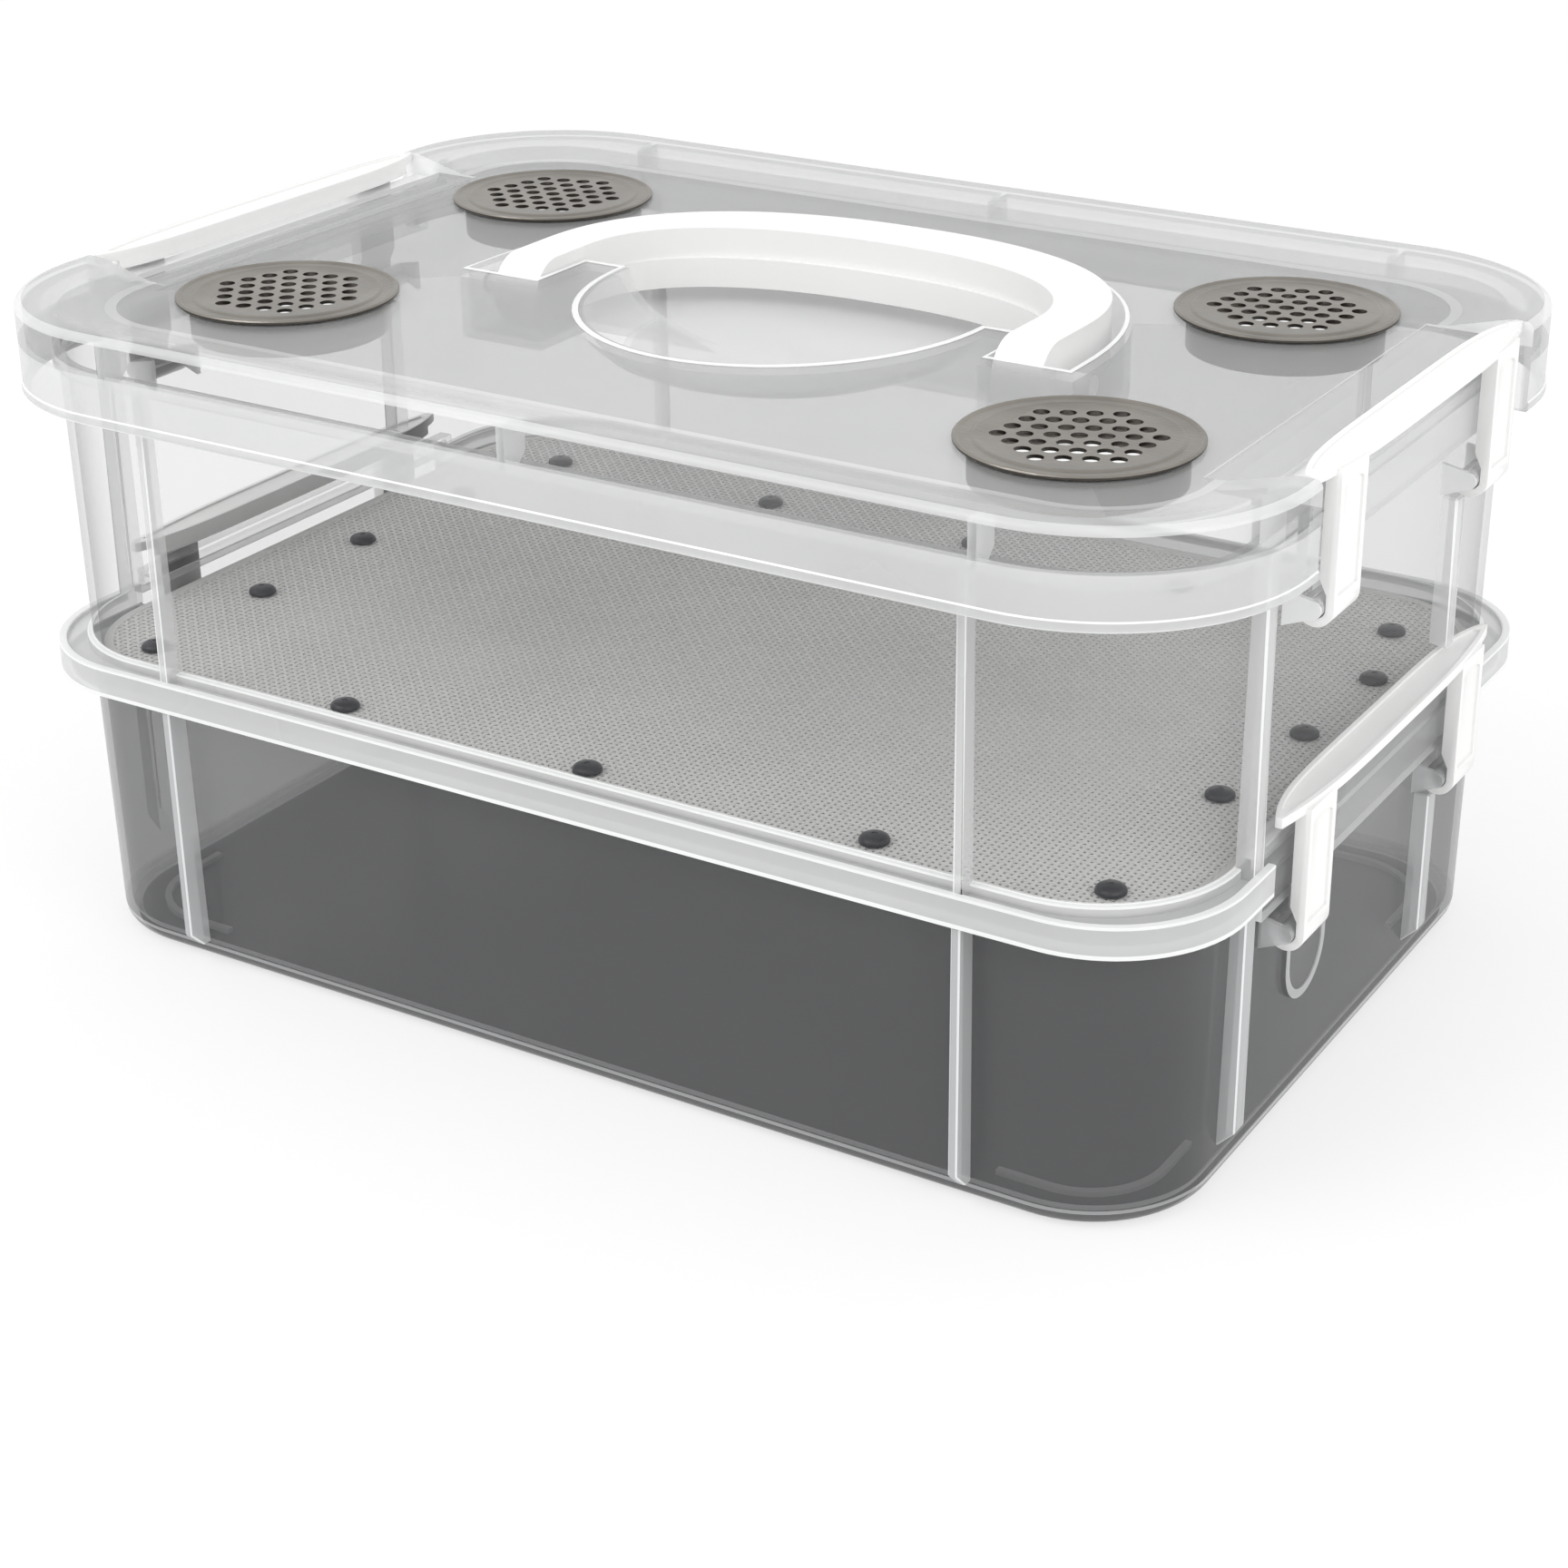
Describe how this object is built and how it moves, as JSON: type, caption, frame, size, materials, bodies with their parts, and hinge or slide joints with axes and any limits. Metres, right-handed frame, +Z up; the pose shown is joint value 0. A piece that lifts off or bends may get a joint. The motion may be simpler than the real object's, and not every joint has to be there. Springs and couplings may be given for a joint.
{
  "type": "cricket keeper box",
  "caption": "Rectangular two-tier clear plastic insect keeping box with a mesh middle floor, a vented lid, a folding carry handle and side latches.",
  "frame": {"origin": "centre of the underside, on the surface the box stands on", "axes": "+X along the long side to the right as seen from the front, +Y to the back, +Z up"},
  "size_m": [0.3712, 0.2572, 0.1848],
  "materials": {
    "clear_plastic": "clear, slightly frosted moulded polypropylene",
    "smoky_plastic": "clear moulded polypropylene with a grey tint",
    "white_plastic": "satin white moulded plastic",
    "woven_mesh": "fine woven grey mesh",
    "black_plastic": "satin black moulded plastic",
    "stainless_steel": "satin stainless steel"
  },
  "bodies": {
    "lower_tier": {"lower_box": "smoky_plastic"},
    "upper_tier": {"upper_box": "clear_plastic", "mesh_floor": "woven_mesh", "floor_rivet_01": "black_plastic", "floor_rivet_02": "black_plastic", "floor_rivet_03": "black_plastic", "floor_rivet_04": "black_plastic", "floor_rivet_05": "black_plastic", "floor_rivet_06": "black_plastic", "floor_rivet_07": "black_plastic", "floor_rivet_08": "black_plastic", "floor_rivet_09": "black_plastic", "floor_rivet_10": "black_plastic", "floor_rivet_11": "black_plastic", "floor_rivet_12": "black_plastic", "floor_rivet_13": "black_plastic", "floor_rivet_14": "black_plastic", "floor_rivet_15": "black_plastic", "floor_rivet_16": "black_plastic"},
    "lid_set": {"lid": "clear_plastic", "vent_front_left": "stainless_steel", "vent_front_right": "stainless_steel", "vent_back_left": "stainless_steel", "vent_back_right": "stainless_steel"},
    "handle": {"carry_handle": "white_plastic"},
    "latch_upper_right": {"upper_latch_right": "white_plastic"},
    "latch_upper_left": {"upper_latch_left": "white_plastic"},
    "latch_lower_right": {"lower_latch_right": "white_plastic"},
    "latch_lower_left": {"lower_latch_left": "white_plastic"}
  },
  "joints": [
    {"name": "upper_tier_lift", "type": "slide", "parent": "lower_tier", "child": "upper_tier", "axis": [0, 0, 1], "range_m": [0, 0.03]},
    {"name": "lid_lift", "type": "slide", "parent": "upper_tier", "child": "lid_set", "axis": [0, 0, 1], "range_m": [0, 0.03]},
    {"name": "handle_swing", "type": "hinge", "parent": "lid_set", "child": "handle", "pos_m": [0, -0.004, 0.1733], "axis": [1, 0, 0], "range_deg": [0, 90]},
    {"name": "upper_latch_right_swing", "type": "hinge", "parent": "upper_tier", "child": "latch_upper_right", "pos_m": [0.1805, 0, 0.1492], "axis": [0, 1, 0], "range_deg": [0, 150]},
    {"name": "upper_latch_left_swing", "type": "hinge", "parent": "upper_tier", "child": "latch_upper_left", "pos_m": [-0.1805, 0, 0.1492], "axis": [0, -1, 0], "range_deg": [0, 150]},
    {"name": "lower_latch_right_swing", "type": "hinge", "parent": "lower_tier", "child": "latch_lower_right", "pos_m": [0.1785, 0, 0.064], "axis": [0, 1, 0], "range_deg": [0, 150]},
    {"name": "lower_latch_left_swing", "type": "hinge", "parent": "lower_tier", "child": "latch_lower_left", "pos_m": [-0.1785, 0, 0.064], "axis": [0, -1, 0], "range_deg": [0, 150]}
  ],
  "couplings": [
    {"joint": "upper_latch_right_swing", "follows": "lid_lift", "rad_per_m": 87.26},
    {"joint": "upper_latch_left_swing", "follows": "lid_lift", "rad_per_m": 87.26},
    {"joint": "lower_latch_right_swing", "follows": "upper_tier_lift", "rad_per_m": 87.26},
    {"joint": "lower_latch_left_swing", "follows": "upper_tier_lift", "rad_per_m": 87.26}
  ]
}
